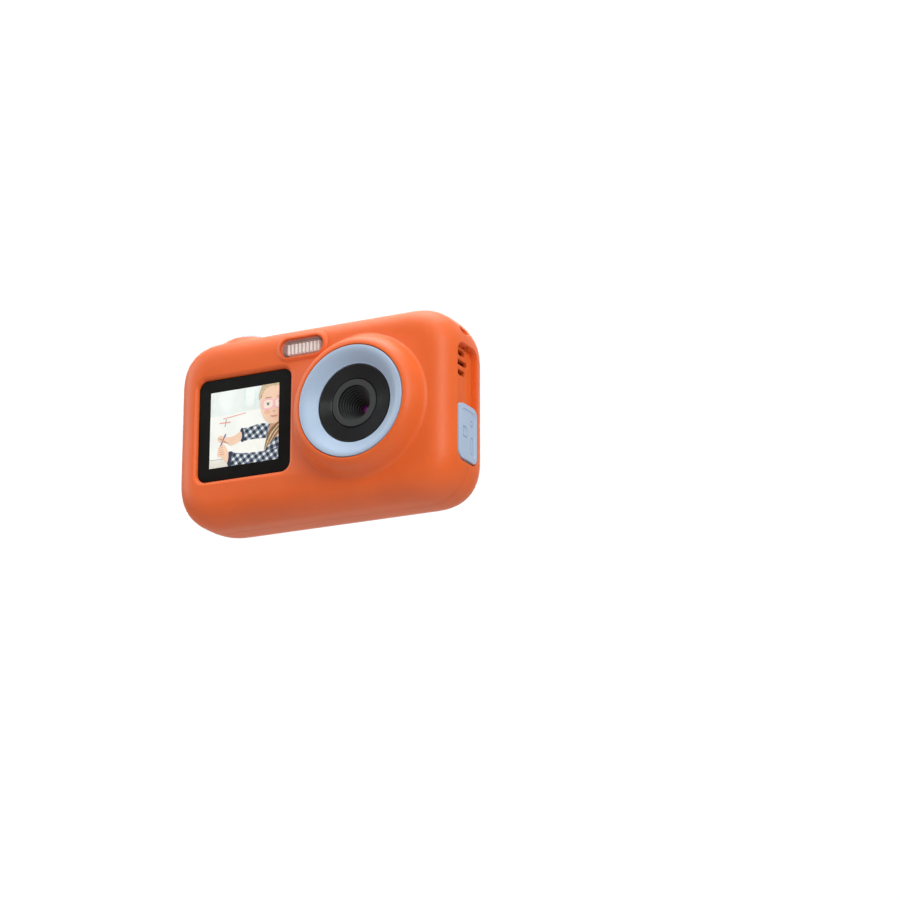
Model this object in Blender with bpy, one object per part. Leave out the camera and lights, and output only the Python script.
"""Kids digital camera: a pillow-shaped toy camera with two displays, as separate parts.

Sizes are in millimetres in the casing's own frame: x runs to the right as the lens side is
seen, y runs from the lens side to the display side with the shells' seam at y = 0, and z is
up with the middle of the casing at z = 0. add_part() moves that frame so that the origin is
under the middle of the camera on the plane it stands on, and turns millimetres into metres.
"""
import math

import bmesh
import bpy
from mathutils import Matrix, Vector

MM = 0.001
GAP = 0.3                      # clearance between neighbouring pieces

# ---- casing ----
WIDTH, HEIGHT, DEPTH = 94.0, 58.9, 25.74
CORNER_R = 15.4                # outline corner, a superellipse arc
CORNER_POWER = 2.49
EDGE_POWER = 2.55              # the rounding from the side to the front and rear faces
FRONT_EDGE = (11.4, 8.9)       # how deep the front rounding is, and how far it comes in
REAR_EDGE = (13.4, 5.4)
WALL = 2.0
BASE_CUT = 0.2                 # the underside is flattened by this much to stand on
BASE_Z = HEIGHT / 2 - BASE_CUT
SEAM_Y = 2.5                   # the seam's place in the part's frame
FACE = DEPTH / 2
INNER_FACE = FACE - WALL
SIDE = WIDTH / 2
TOP = HEIGHT / 2

# ---- lens ----
LENS_X, LENS_Z = 17.6, 0.0
BOSS_R = 22.0
BOSS_FRONT = -19.0
RING_R = 17.05
RING_FRONT = -19.2
RING_BACK = -14.6
BEZEL_R = 12.02
BEZEL_FRONT = -16.4
HOOD_R = 7.3
HOOD_MOUTH_R = 5.35
HOOD_STEPS = 8
HOOD_STEP_DEPTH = 6.6          # the depth of all the steps together
HOOD_BACK = -9.3
LENS_FRONT = -9.0

# ---- front display ----
FRONT_SCREEN = (-22.4, -0.1)
FRONT_GLASS = 31.9
FRONT_ACTIVE = 23.8
FRONT_GLASS_DEPTH = 1.3

# ---- flash ----
FLASH = (-2.25, 21.4)
FLASH_SIZE = (14.5, 5.4)
FLASH_RIM = (17.1, 7.1)
FLASH_BARS = 9
FLASH_PITCH = 1.27

# ---- rear display and keys ----
REAR_SCREEN = (12.5, 0.0)
REAR_GLASS = (57.8, 45.8)
REAR_ACTIVE = (48.96, 36.72)
PAD = (-29.25, -0.2)
PAD_R = 9.4
PAD_PIVOT_Y = 10.0             # the depth of the point that the pad rocks about
PAD_NUB_R = 7.5                # the pad's four nubs and their switches lie on this circle
OK_R = 4.3
KEY_R = 4.0
KEY_DX, KEY_DZ = 5.35, 16.2
KEY_TOP = FACE + 1.23
KEY_TRAVEL = 0.8
SWITCH_TOP = 7.0
BOARD_Y = (4.4, 5.4)
KEY_PLACES = {
    "camera_change_key": (PAD[0] + KEY_DX, PAD[1] + KEY_DZ),
    "power_key": (PAD[0] - KEY_DX, PAD[1] + KEY_DZ),
    "playback_key": (PAD[0] + KEY_DX, PAD[1] - KEY_DZ),
    "light_key": (PAD[0] - KEY_DX, PAD[1] - KEY_DZ),
}

# ---- shutter ----
SHUTTER_X = -27.4
SHUTTER_R = 5.6
SHUTTER_TOP = TOP + 3.1
SHUTTER_BOSS = (9.7, 6.3)      # radius of the mound round the button, at its foot and its rim
SHUTTER_BOSS_TOP = TOP + 0.9

# ---- side recess ----
RECESS = (12.6, 35.6)
RECESS_FLOOR = SIDE - 2.5
COVER_Z = (-17.5, -0.5)
SLOT_Z = (9.9, 13.0, 16.0)
SLOT_HALF = (2.3, 3.7, 2.3)
LANYARD = (45.3, 22.8)
LANYARD_TILT = 27.2            # the corner's normal at the lanyard slot, up from level
LANYARD_SLOT = (4.6, 2.3)
COVER_PIVOT_X = 46.75
USB = (2.6, -11.4)             # y and z of each socket, card and switch behind the recess
CARD = (-1.9, -9.4)
RESET = (2.6, -4.2)

# ---- boards and screws ----
KEY_SCREW_Z = (-21.4, 21.4)
MAIN_SCREWS = ((-5.0, 14.2), (33.5, 19.0), (-5.0, -18.5), (33.5, -19.0))
POST_R = 1.9
POST_BORE_R = 1.0
MAIN_BOARD_Y = (-0.5, 0.5)
MICROPHONE = (34.0, 10.5)

ORANGE = (0.76, 0.135, 0.035)
BLUE = (0.40, 0.52, 0.69)
BLACK = (0.012, 0.012, 0.013)
DARK_GREY = (0.065, 0.065, 0.068)
GREEN = (0.02, 0.13, 0.05)
WHITE = (0.8, 0.8, 0.78)
STEEL = (0.6, 0.6, 0.62)
GOLD = (0.72, 0.5, 0.2)
SILVER_GREY = (0.35, 0.36, 0.38)


def clear_scene():
    for obj in list(bpy.data.objects):
        bpy.data.objects.remove(obj, do_unlink=True)


def finish(bm):
    """Every face outwards."""
    bmesh.ops.recalc_face_normals(bm, faces=bm.faces)
    return bm


def loft(rings):
    """A closed solid through rings of equal point counts, with flat ends."""
    bm = bmesh.new()
    loops = [[bm.verts.new(point) for point in ring] for ring in rings]
    count = len(loops[0])
    for low, high in zip(loops, loops[1:]):
        for i in range(count):
            j = (i + 1) % count
            bm.faces.new((low[i], low[j], high[j], high[i]))
    bm.faces.new(loops[0])
    bm.faces.new(loops[-1])
    return finish(bm)


def place(axis, along, u, v):
    """A point at `along` on the axis, with the other two coordinates in x, y, z order."""
    return {"x": (along, u, v), "y": (u, along, v), "z": (u, v, along)}[axis]


def prism(axis, outline, start, end):
    return loft([[place(axis, t, u, v) for u, v in outline] for t in (start, end)])


def box(x, y, z):
    return prism("z", [(x[0], y[0]), (x[1], y[0]), (x[1], y[1]), (x[0], y[1])], z[0], z[1])


def around(middle, half):
    return (middle - half, middle + half)


def round_rect(centre, size, radius, steps=4):
    """A rectangle's outline with round corners."""
    points = []
    for quarter, (sx, sy) in enumerate(((1, 1), (-1, 1), (-1, -1), (1, -1))):
        cx = centre[0] + sx * (size[0] / 2 - radius)
        cy = centre[1] + sy * (size[1] / 2 - radius)
        for i in range(steps + 1):
            a = math.radians(90 * (quarter + i / steps))
            points.append((cx + radius * math.cos(a), cy + radius * math.sin(a)))
    return points


def stadium(centre, size, steps=6):
    return round_rect(centre, size, min(size) / 2 - 0.001, steps)


def circle(centre, radius, count=32, phase=0.0):
    angles = [2 * math.pi * (i + phase) / count for i in range(count)]
    return [(centre[0] + radius * math.cos(a), centre[1] + radius * math.sin(a)) for a in angles]


def disc(axis, centre, radius, start, end, count=32):
    """A cylinder, turned off the quarter points so that its edges miss its neighbours'."""
    return prism(axis, circle(centre, radius, count, 0.37), start, end)


def turned(axis, centre, profile, count=48):
    """A closed (radius, place along the axis) profile turned right round the axis."""
    bm = bmesh.new()
    rings = []
    for radius, along in profile:
        if radius < 1e-6:
            rings.append([bm.verts.new(place(axis, along, *centre))])
        else:
            rings.append([bm.verts.new(place(axis, along, u, v))
                          for u, v in circle(centre, radius, count)])
    for a, b in zip(rings, rings[1:] + rings[:1]):
        for i in range(count):
            j = (i + 1) % count
            if len(a) > 1 and len(b) > 1:
                bm.faces.new((a[i], a[j], b[j], b[i]))
            elif len(b) > 1:
                bm.faces.new((a[0], b[j], b[i]))
            elif len(a) > 1:
                bm.faces.new((a[i], a[j], b[0]))
    return finish(bm)


def edge_inset(y):
    """How far the outline has come in at depth y, before the flat faces."""
    depth, inset = FRONT_EDGE if y < 0 else REAR_EDGE
    t = max(0.0, abs(y) - (FACE - depth)) / depth
    return inset * (1 - (1 - min(t, 1.0) ** EDGE_POWER) ** (1 / EDGE_POWER))


def outline(inset, steps=9):
    """The casing's outline in x and z, moved in by inset."""
    radius = CORNER_R - inset
    points = []
    for sx, sz in ((1, 1), (-1, 1), (-1, -1), (1, -1)):
        corner = []
        for i in range(steps + 1):
            a = math.pi / 2 * i / steps
            u = math.cos(a) ** (2 / CORNER_POWER) if i < steps else 0.0
            v = math.sin(a) ** (2 / CORNER_POWER)
            corner.append((sx * (SIDE - inset - radius + radius * u),
                           sz * (TOP - inset - radius + radius * v)))
        points += corner if sx * sz > 0 else corner[::-1]
    return points


def pillow(extra, face, steps=9):
    """The casing's shape `extra` inside its surface, between y = -face and y = face."""
    rings = []
    for side, rounds in ((-1, (1.0, 0.992, 0.96, 0.88, 0.75, 0.55, 0.3)),
                         (1, (0.0, 0.35, 0.6, 0.8, 0.92, 0.98, 1.0))):
        for t in rounds:
            y = side * FACE * t
            ring = outline(edge_inset(y) + extra, steps)
            rings.append([(x, side * face * t, z) for x, z in ring])
    return loft(rings)


def material(name, colour, roughness, metallic=0.0, alpha=1.0):
    mat = bpy.data.materials.new(name)
    mat.use_nodes = True
    shader = mat.node_tree.nodes["Principled BSDF"]
    shader.inputs["Base Color"].default_value = (*colour, 1.0)
    shader.inputs["Roughness"].default_value = roughness
    shader.inputs["Metallic"].default_value = metallic
    shader.inputs["Alpha"].default_value = alpha
    return mat


def as_object(name, bm):
    mesh = bpy.data.meshes.new(name)
    bm.to_mesh(mesh)
    bm.free()
    obj = bpy.data.objects.new(name, mesh)
    bpy.context.scene.collection.objects.link(obj)
    return obj


def combine(base, *steps):
    """Apply (operation, solid) pairs to a solid with exact booleans."""
    target = as_object("work", base)
    for operation, solid in steps:
        tool = as_object("tool", solid)
        modifier = target.modifiers.new("cut", "BOOLEAN")
        modifier.operation = operation
        modifier.solver = "EXACT"
        modifier.object = tool
        depsgraph = bpy.context.evaluated_depsgraph_get()
        result = bpy.data.meshes.new_from_object(target.evaluated_get(depsgraph))
        target.modifiers.clear()
        target.data = result
        bpy.data.objects.remove(tool, do_unlink=True)
    bm = bmesh.new()
    bm.from_mesh(target.data)
    bpy.data.objects.remove(target, do_unlink=True)
    bmesh.ops.remove_doubles(bm, verts=bm.verts, dist=1e-5)
    bmesh.ops.dissolve_degenerate(bm, dist=1e-5, edges=bm.edges)
    return bm


def cut(solid):
    return ("DIFFERENCE", solid)


def add(solid):
    return ("UNION", solid)


def keep(solid):
    return ("INTERSECT", solid)


def add_part(name, bm, colour, roughness=0.5, metallic=0.0, alpha=1.0, origin=None):
    """Put a solid in the scene in metres, with its origin where it moves about."""
    shift = Vector((0.0, SEAM_Y, BASE_Z))
    pivot = Vector(origin) + shift if origin else Vector()
    bmesh.ops.transform(bm, matrix=Matrix.Translation(shift - pivot), verts=bm.verts)
    bmesh.ops.transform(bm, matrix=Matrix.Scale(MM, 4), verts=bm.verts)
    obj = as_object(name, bm)
    obj.location = pivot * MM
    obj.data.materials.append(material(name, colour, roughness, metallic, alpha))
    obj.data.shade_smooth()
    obj.data.set_sharp_from_angle(angle=math.radians(32))
    return obj


# ---- casing shells ----

def lens_boss():
    profile = [(0, -11.5), (BOSS_R + 0.6, -11.5), (BOSS_R + 0.2, -12.9), (21.1, -13.5),
               (20.4, -14.6), (19.8, -16.0), (19.2, -17.4), (18.5, -18.5), (17.9, -18.95),
               (17.35, BOSS_FRONT), (0, BOSS_FRONT)]
    return turned("y", (LENS_X, LENS_Z), profile, 48)


def shutter_boss():
    """A low mound whose foot follows the rounding of the casing."""
    foot, rim = SHUTTER_BOSS
    rise = SHUTTER_BOSS_TOP - TOP
    profile = [(0, TOP - 4), (foot + 0.2, TOP - 4), (foot, TOP - 0.1), (foot - 0.9, TOP + 0.12 * rise),
               (foot - 1.9, TOP + 0.45 * rise), (foot - 2.7, TOP + 0.8 * rise),
               (rim + 0.3, TOP + 0.97 * rise), (rim, SHUTTER_BOSS_TOP), (0, SHUTTER_BOSS_TOP)]
    boss = turned("z", (SHUTTER_X, 0), profile, 32)
    for vert in boss.verts:
        reach = math.hypot(vert.co.x - SHUTTER_X, vert.co.y)
        blend = min(max((reach - rim + 0.3) / (foot - rim), 0.0), 1.0)
        vert.co.z -= edge_inset(vert.co.y) * blend * blend * (3 - 2 * blend)
    return boss


def lanyard_cutters():
    """A slot through the top corner, and the passage from it down to the side recess."""
    tilt = math.radians(LANYARD_TILT)
    length, width = LANYARD_SLOT
    slot = prism("x", round_rect((0, 0), (length, width), 0.9, 3), -3.2, 3.0)
    turn = Matrix.Translation((LANYARD[0], 0, LANYARD[1])) @ Matrix.Rotation(-tilt, 4, "Y")
    bmesh.ops.transform(slot, matrix=turn, verts=slot.verts)
    passage = box((43.4, 45.4), (-length / 2, length / 2), (RECESS[1] / 2 - 1, LANYARD[1] + 0.4))
    return slot, passage


def posts():
    """(x, z, board side y, wall y) of the posts that the boards are screwed to."""
    keys = [(PAD[0], z, BOARD_Y[1] + GAP, INNER_FACE + 0.5) for z in KEY_SCREW_Z]
    main = [(x, z, MAIN_BOARD_Y[0] - GAP, -INNER_FACE - 0.5) for x, z in MAIN_SCREWS]
    return keys + main


def casing():
    """Both shells as one solid, before the seam is cut."""
    body = combine(pillow(0, FACE), cut(box((-60, 60), (-30, 30), (-40, -BASE_Z))))
    hollow = pillow(WALL, INNER_FACE, 6)
    recess_pad = box((40.6, 45.5), (-8.3, 8.3), (-20.2, 20.2))
    corner_pad = box((38.5, 50), (-4.6, 4.6), (19.2, 40))
    rear_pad = prism("y", round_rect(REAR_SCREEN, (60.6, 48.4), 6.4), 9.6, 12)
    front_pad = prism("y", round_rect(FRONT_SCREEN, (36, 36), 4.5), -12, -9.0)
    inside = combine(pillow(0.8, FACE - 0.8, 6),
                     keep(combine(recess_pad, add(corner_pad), add(rear_pad), add(front_pad))))
    flash_rim = prism("y", stadium(FLASH, FLASH_RIM), -11.5, -FACE - 0.55)
    boss = combine(lens_boss(), add(flash_rim))
    slot, passage = lanyard_cutters()
    glass_x, glass_z = REAR_GLASS
    ledge = FACE - FRONT_GLASS_DEPTH - 1.0 - GAP
    steps = [add(boss), add(shutter_boss()), cut(hollow), add(inside)]
    for x, z, board, wall in posts():
        steps.append(add(disc("y", (x, z), POST_R, board, wall, 20)))
    steps += [
        # lens: pocket for the trim ring and a through-hole for the hood
        cut(disc("y", (LENS_X, LENS_Z), RING_R + GAP, BOSS_FRONT - 1, -14.3, 44)),
        cut(disc("y", (LENS_X, LENS_Z), HOOD_R + GAP, -15, -8, 36)),
        # front display: the glass lies in a pocket, with a smaller window behind it
        cut(prism("y", round_rect(FRONT_SCREEN, (FRONT_GLASS + 2.4, FRONT_GLASS + 2.4), 3.9),
                  -FACE - 1, -FACE + 0.55)),
        cut(prism("y", round_rect(FRONT_SCREEN, (FRONT_GLASS + 0.6, FRONT_GLASS + 0.6), 3.2),
                  -FACE - 1, -ledge)),
        cut(prism("y", round_rect(FRONT_SCREEN, (FRONT_ACTIVE + 3, FRONT_ACTIVE + 3), 1.5),
                  -FACE, -5)),
        # flash window, which has a flange behind the wall
        cut(prism("y", stadium(FLASH, (FLASH_SIZE[0] + 0.6, FLASH_SIZE[1] + 0.6)), -16, -8)),
        cut(prism("y", stadium(FLASH, (17.8, 8.6)), -INNER_FACE - 0.05, -5)),
        # rear display
        cut(prism("y", round_rect(REAR_SCREEN, (glass_x + 0.6, glass_z + 0.6), 6.0, 6),
                  FACE - 1.65, FACE + 2)),
        cut(prism("y", round_rect(REAR_SCREEN, (REAR_ACTIVE[0] + 3, REAR_ACTIVE[1] + 3), 2),
                  8, FACE)),
        # direction pad, round keys and shutter
        cut(disc("y", PAD, PAD_R + 0.35, 8, 16, 40)),
        cut(disc("z", (SHUTTER_X, 0), SHUTTER_R + GAP, TOP - 8, TOP + 6, 36)),
        # side recess, with a ledge behind the side panel
        cut(prism("x", round_rect((0, 0), RECESS, 3.0), RECESS_FLOOR - 1.6, SIDE + 2)),
        cut(prism("x", round_rect((0, 0), (9.8, 32.4), 2.0), 38, SIDE + 2)),
        cut(slot), cut(passage),
    ]
    steps += [cut(disc("y", key, KEY_R + GAP, 8, 16, 28)) for key in KEY_PLACES.values()]
    for x, z, board, wall in posts():
        side = math.copysign(1, wall - board)
        steps.append(cut(disc("y", (x, z), POST_BORE_R, board - side, board + side * 5.3, 12)))
    return combine(body, *steps)


def shells():
    """The casing parted at the seam; a lip on the front shell enters a rebate in the rear."""
    whole = casing()
    lip_out, lip_in = 1.0, 1.75

    def band(inset_out, inset_in, start, end):
        outer = prism("y", outline(inset_out, 6), start, end)
        inner = prism("y", outline(inset_in, 6), start - 1, end + 1)
        return combine(outer, cut(inner))

    lip = combine(band(lip_out, lip_in, -1.0, 1.2), keep(whole.copy()))
    front = combine(whole.copy(), keep(box((-60, 60), (-30, -GAP / 2), (-40, 45))))
    rear = combine(whole, keep(box((-60, 60), (GAP / 2, 30), (-40, 45))))
    front = combine(front, add(lip))
    rear = combine(rear, cut(band(lip_out - GAP, WALL + 0.6, -1.0, 1.5)))
    add_part("front_shell", front, ORANGE)
    add_part("rear_shell", rear, ORANGE)


# ---- lens, sensor and flash ----

def lens_parts():
    at = (LENS_X, LENS_Z)
    ring = [(RING_R, -18.7), (16.6, RING_FRONT), (16.0, RING_FRONT), (15.0, -18.85), (13.6, -17.8),
            (12.5, -16.75), (BEZEL_R, -16.2), (BEZEL_R, -15.1), (10.6, -15.1), (10.6, RING_BACK),
            (16.7, RING_BACK), (RING_R, RING_BACK - 0.4)]
    add_part("lens_trim_ring", turned("y", at, ring, 44), BLUE, 0.45)
    bezel = [(BEZEL_R - GAP, BEZEL_FRONT), (BEZEL_R - GAP, -15.4), (HOOD_R + GAP, -15.4),
             (HOOD_R + GAP, BEZEL_FRONT)]
    add_part("lens_bezel", turned("y", at, bezel, 36), BLACK, 0.35)
    hood = [(HOOD_R, HOOD_BACK), (HOOD_R, BEZEL_FRONT - 0.1), (HOOD_MOUTH_R, BEZEL_FRONT - 0.1)]
    for i in range(HOOD_STEPS):
        radius = HOOD_MOUTH_R - (HOOD_MOUTH_R - 1.3) * (i + 1) / HOOD_STEPS
        y = BEZEL_FRONT + 0.1 + HOOD_STEP_DEPTH * (i + 1) / HOOD_STEPS
        hood += [(hood[-1][0], y), (radius, y)]
    hood += [(1.3, HOOD_BACK)]
    add_part("lens_hood", turned("y", at, hood, 24), DARK_GREY, 0.4)
    glass = [(0, LENS_FRONT), (1.2, LENS_FRONT + 0.15), (2.1, LENS_FRONT + 0.7),
             (2.1, LENS_FRONT + 1.3), (0, LENS_FRONT + 1.3)]
    add_part("front_lens", turned("y", at, glass, 24), (0.25, 0.18, 0.3), 0.05, alpha=0.6)
    barrel = [(3.7, LENS_FRONT), (2.45, LENS_FRONT), (2.45, -4.0), (3.7, -4.0)]
    add_part("lens_barrel", turned("y", at, barrel, 24), BLACK, 0.5)
    chip = box(around(LENS_X, 1.6), (-4.9, -4.0), around(LENS_Z, 1.6))
    add_part("image_sensor", chip, (0.05, 0.06, 0.09), 0.15)
    board = prism("y", round_rect(at, (14, 12), 1.0, 3), -3.7, -2.8)
    add_part("sensor_board", board, GREEN, 0.45)


def flash_parts():
    x, z = FLASH
    width, height = FLASH_SIZE
    window = combine(prism("y", stadium(FLASH, FLASH_SIZE), -FACE - 0.15, -10.4),
                     add(prism("y", stadium(FLASH, (17.2, 8.0)), -10.6, -9.8)),
                     cut(prism("y", stadium(FLASH, (width - 1.4, height - 1.4)), -12.1, -9)))
    add_part("flash_window", window, (0.85, 0.85, 0.86), 0.1, alpha=0.35)
    bars = [add(box(around(x + (i - (FLASH_BARS - 1) / 2) * FLASH_PITCH, 0.35), (-11.8, -9.3),
                    around(z, 1.6))) for i in range(FLASH_BARS)]
    diffuser = combine(prism("y", stadium(FLASH, (15.6, 7.2)), -9.5, -8.9), *bars)
    add_part("flash_diffuser", diffuser, WHITE, 0.4)
    add_part("flash_led", box(around(x, 1.8), (-8.6, -8.0), around(z, 1.4)), GOLD, 0.3)
    board = prism("y", round_rect((x, z), (15.6, 6.4), 0.8, 3), -7.7, -6.9)
    add_part("flash_board", board, GREEN, 0.45)


# ---- displays ----

def display_parts():
    front = -FACE + FRONT_GLASS_DEPTH
    glass = prism("y", round_rect(FRONT_SCREEN, (FRONT_GLASS, FRONT_GLASS), 2.9), front, front + 1)
    add_part("front_screen_glass", glass, BLACK, 0.08)
    panel = prism("y", round_rect(FRONT_SCREEN, (28.0, 30.5), 0.8, 2), -8.7, -6.8)
    add_part("front_display", panel, SILVER_GREY, 0.35)
    glass = prism("y", round_rect(REAR_SCREEN, REAR_GLASS, 5.7, 6), FACE - 1.3, FACE - 0.1)
    add_part("rear_screen_glass", glass, BLACK, 0.08)
    panel = prism("y", round_rect(REAR_SCREEN, (55.6, 42.6), 0.8, 2), 6.9, 9.3)
    add_part("rear_display", panel, SILVER_GREY, 0.35)


# ---- keys, direction pad and their board ----

def key_parts():
    inner = INNER_FACE - GAP
    for name, (x, z) in KEY_PLACES.items():
        profile = [(0, KEY_TOP), (3.2, KEY_TOP), (KEY_R - 0.15, KEY_TOP - 0.25),
                   (KEY_R, KEY_TOP - 0.7), (KEY_R, inner), (4.8, inner), (4.8, inner - 1.0),
                   (1.2, inner - 1.0), (1.2, SWITCH_TOP + KEY_TRAVEL + 0.3),
                   (0, SWITCH_TOP + KEY_TRAVEL + 0.3)]
        add_part(name, turned("y", (x, z), profile, 22), BLUE, 0.45, origin=(x, inner, z))
    x, z = PAD
    pad = [(PAD_R, KEY_TOP - 0.6), (PAD_R - 0.25, KEY_TOP - 0.15), (PAD_R - 0.8, KEY_TOP),
           (7.6, KEY_TOP - 0.35), (6.2, KEY_TOP - 0.7), (OK_R + 0.35, KEY_TOP - 0.75),
           (OK_R + 0.35, 9.0), (10.5, 9.0), (10.5, 10.0), (PAD_R, 10.0)]
    nubs = [add(disc("y", (x + PAD_NUB_R * dx, z + PAD_NUB_R * dz), 0.8, 7.6, 9.4, 12))
            for dx, dz in ((0, 1), (0, -1), (1, 0), (-1, 0))]
    body = combine(turned("y", PAD, pad, 32), *nubs)
    add_part("direction_pad", body, BLUE, 0.45, origin=(x, PAD_PIVOT_Y, z))
    pivot = turned("y", PAD, [(6.5, 7.9), (6.5, 8.4), (5.75, 8.4), (5.75, 7.9)], 28)
    add_part("pad_pivot", pivot, SILVER_GREY, 0.6, origin=(x, PAD_PIVOT_Y, z))
    key = [(0, KEY_TOP - 0.55), (3.4, KEY_TOP - 0.55), (OK_R - 0.15, KEY_TOP - 0.7),
           (OK_R, KEY_TOP - 1.0), (OK_R, 8.5), (5.3, 8.5), (5.3, 7.9), (1.2, 7.9), (1.2, 7.85),
           (0, 7.85)]
    add_part("ok_key", turned("y", PAD, key, 22), BLUE, 0.45, origin=(x, PAD_PIVOT_Y, z))
    board = prism("y", round_rect((-29.9, 0), (24.4, 46.4), 5.0, 3), *BOARD_Y)
    for post_z in KEY_SCREW_Z:
        board = combine(board, cut(disc("y", (x, post_z), POST_BORE_R, 3, 7, 12)))
    add_part("key_board", board, GREEN, 0.45)
    switches = {name.replace("_key", "_switch"): place_xz for name, place_xz in KEY_PLACES.items()}
    switches["ok_switch"] = PAD
    for word, dx, dz in (("up", 0, 1), ("down", 0, -1), ("left", 1, 0), ("right", -1, 0)):
        switches[word + "_switch"] = (x + PAD_NUB_R * dx, z + PAD_NUB_R * dz)
    for name, at in switches.items():
        add_part(name, tact_switch("y", at, BOARD_Y[1] + GAP, SWITCH_TOP, 3.0), STEEL, 0.35, 0.9)


def tact_switch(axis, at, start, end, size):
    """A square switch body with a round plunger on it."""
    body = prism(axis, round_rect(at, (size, size), 0.3, 1), start, end - 0.3 * (end - start))
    return combine(body, add(disc(axis, at, size * 0.28, start + 0.3, end, 12)))


def shutter_parts():
    at = (SHUTTER_X, 0)
    under = TOP - WALL - 1.35
    profile = [(0, SHUTTER_TOP), (1.9, SHUTTER_TOP - 0.2), (3.6, SHUTTER_TOP - 0.7),
               (4.9, SHUTTER_TOP - 1.35), (SHUTTER_R, SHUTTER_TOP - 2.1), (SHUTTER_R, under),
               (6.9, under), (6.9, under - 1.2), (1.5, under - 1.2), (1.5, under - 2.4),
               (0, under - 2.4)]
    add_part("shutter_button", turned("z", at, profile, 28), BLUE, 0.45,
             origin=(SHUTTER_X, 0, under))
    add_part("shutter_switch", tact_switch("z", at, 20.5, 22.4, 4.2), STEEL, 0.35, 0.9)
    board = prism("z", round_rect((SHUTTER_X, -0.8), (13, 6.0), 1.0, 3), 19.3, 20.2)
    add_part("shutter_board", board, GREEN, 0.45)


# ---- side panel, port cover and what lies behind them ----

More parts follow.
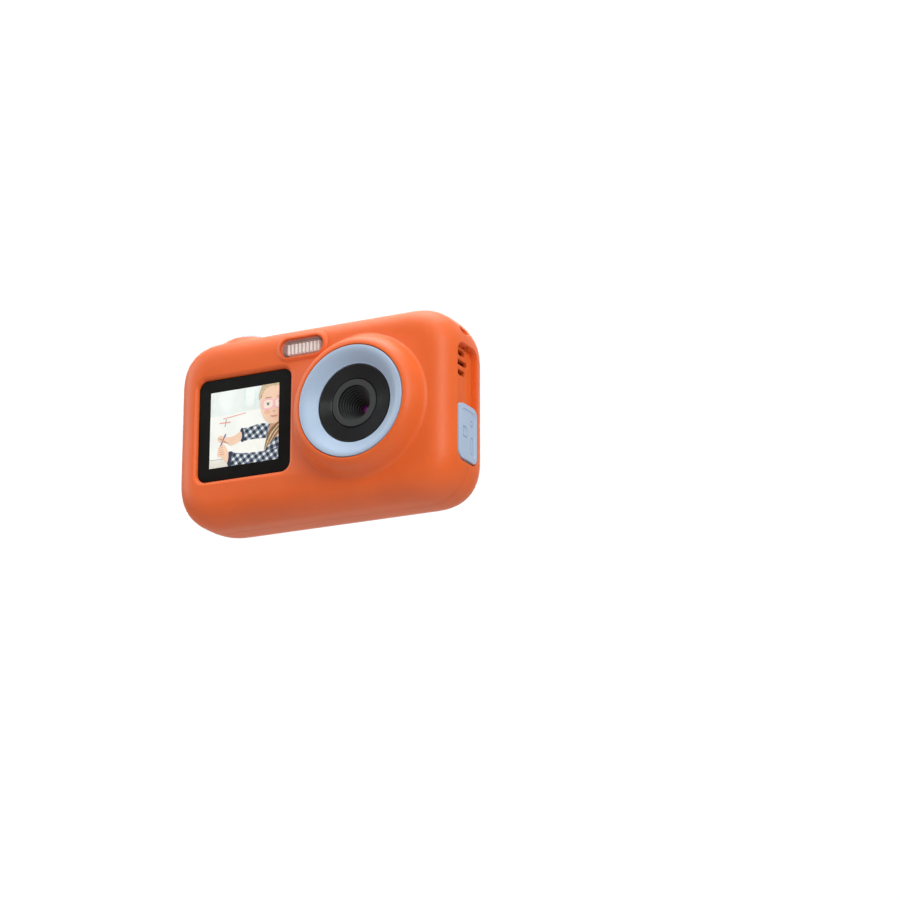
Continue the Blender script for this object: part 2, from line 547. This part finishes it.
def side_parts():
    floor = RECESS_FLOOR
    panel = prism("x", round_rect((0, -0.1), (RECESS[0] - 0.6, RECESS[1] - 1.0), 2.7), floor - 1.3,
                  floor)
    cuts = [cut(prism("x", stadium((0, z), (2 * half, 1.6), 4), 40, 48))
            for z, half in zip(SLOT_Z, SLOT_HALF)]
    cuts += [cut(prism("x", stadium(USB, (3.8, 9.6), 4), 40, 48)),
             cut(box((40, 48), around(CARD[0], 0.85), around(CARD[1], 6.1))),
             cut(disc("x", RESET, 0.6, 40, 48, 12))]
    add_part("side_panel", combine(panel, *cuts), ORANGE)
    middle = (0, sum(COVER_Z) / 2)
    width, height = RECESS[0] - 2 * GAP, COVER_Z[1] - COVER_Z[0]
    shape = prism("x", round_rect(middle, (width, height), 2.6), floor + 1.0, SIDE + 2)
    skin = combine(shape, keep(pillow(0.0, FACE)))
    lip = prism("x", round_rect(middle, (width - 0.4, height - 0.4), 2.4), floor + 0.35, floor + 1.2)
    inside = prism("x", round_rect(middle, (9.6, 14.6), 1.8), floor, floor + 1.4)
    notch = box((floor, COVER_PIVOT_X - 0.35), around(0, 3.3), (COVER_Z[0] - 0.5, COVER_Z[0] + 1.2))
    cover = combine(skin, add(lip), cut(inside), cut(notch))
    add_part("port_cover", cover, BLUE, 0.5, origin=(COVER_PIVOT_X, 0, COVER_Z[0]))
    anchor = box((floor + GAP, COVER_PIVOT_X - 0.65), around(0, 3.0),
                 (COVER_Z[0], COVER_Z[0] + 0.9))
    add_part("cover_anchor", anchor, BLUE, 0.5)
    speaker = turned("x", (0, SLOT_Z[1]), [(0, 39.9), (5.4, 40.3), (5.9, 40.3), (5.9, 38.1),
                                           (4.0, 37.3), (0, 37.3)], 28)
    speaker = combine(speaker, keep(box((30, 50), around(0, 4.6), around(SLOT_Z[1], 8))))
    add_part("speaker", speaker, BLACK, 0.5)
    y, z = USB
    usb = combine(prism("x", stadium(USB, (3.2, 9.0), 4), 35.6, 42.9),
                  cut(prism("x", stadium(USB, (2.5, 8.3), 4), 36.6, 44)))
    usb = combine(usb, add(box((36.2, 42.2), around(y, 0.35), around(z, 3.3))))
    add_part("usb_connector", usb, STEEL, 0.25, 0.95)
    y, z = CARD
    socket = combine(box((27.5, 42.6), around(y, 1.05), around(z, 6.6)),
                     cut(box((28.1, 44), around(y, 0.8), around(z, 5.9))))
    add_part("card_socket", socket, STEEL, 0.3, 0.9)
    card = box((29.4, 44.4), around(y, 0.5), around(z, 5.5))
    add_part("memory_card", card, BLACK, 0.4, origin=(44.4, y, z))
    reset = combine(box((37.6, 41.0), around(RESET[0], 1.5), around(RESET[1], 2.0)),
                    add(disc("x", RESET, 0.5, 40, 42.0, 12)))
    add_part("reset_switch", reset, STEEL, 0.35, 0.9)


def inner_parts():
    corners = [(-8.6, -22.0), (38.6, -22.0), (38.6, -15.9), (42.2, -15.9), (42.2, 3.0),
               (36.6, 3.0), (36.6, 22.4), (1.0, 22.4), (1.0, 17.4), (-8.6, 17.4)]
    board = prism("y", corners, *MAIN_BOARD_Y)
    for x, z in MAIN_SCREWS:
        board = combine(board, cut(disc("y", (x, z), POST_BORE_R, -3, 3, 12)))
    add_part("main_board", board, GREEN, 0.45)
    chip = box((8, 18), (MAIN_BOARD_Y[1] + GAP, MAIN_BOARD_Y[1] + 1.4), (-4, 6))
    add_part("processor", chip, BLACK, 0.35)
    cell = prism("y", round_rect((-25.3, -2.8), (31, 40), 2.0, 3), -6.3, -0.6)
    add_part("battery", cell, SILVER_GREY, 0.35)
    mic = disc("y", MICROPHONE, 2.0, MAIN_BOARD_Y[0] - 1.8, MAIN_BOARD_Y[0] - GAP, 20)
    add_part("microphone", mic, STEEL, 0.3, 0.9)


def screw_parts():
    """Pan-head screws: the heads lie on the boards and the shanks run into the posts."""
    for i, (x, z, board, wall) in enumerate(posts(), 1):
        side = 1 if wall > board else -1
        face = board - side * (GAP + 1.0 + GAP)
        profile = [(0, face - side * 1.1), (1.2, face - side * 1.1), (1.7, face - side * 0.6),
                   (1.7, face), (0.7, face), (0.7, face + side * 4.6), (0, face + side * 4.9)]
        add_part(f"board_screw_{i}", turned("y", (x, z), profile, 12), STEEL, 0.3, 0.95)


def build():
    clear_scene()
    shells()
    lens_parts()
    flash_parts()
    display_parts()
    key_parts()
    shutter_parts()
    side_parts()
    inner_parts()
    screw_parts()


build()
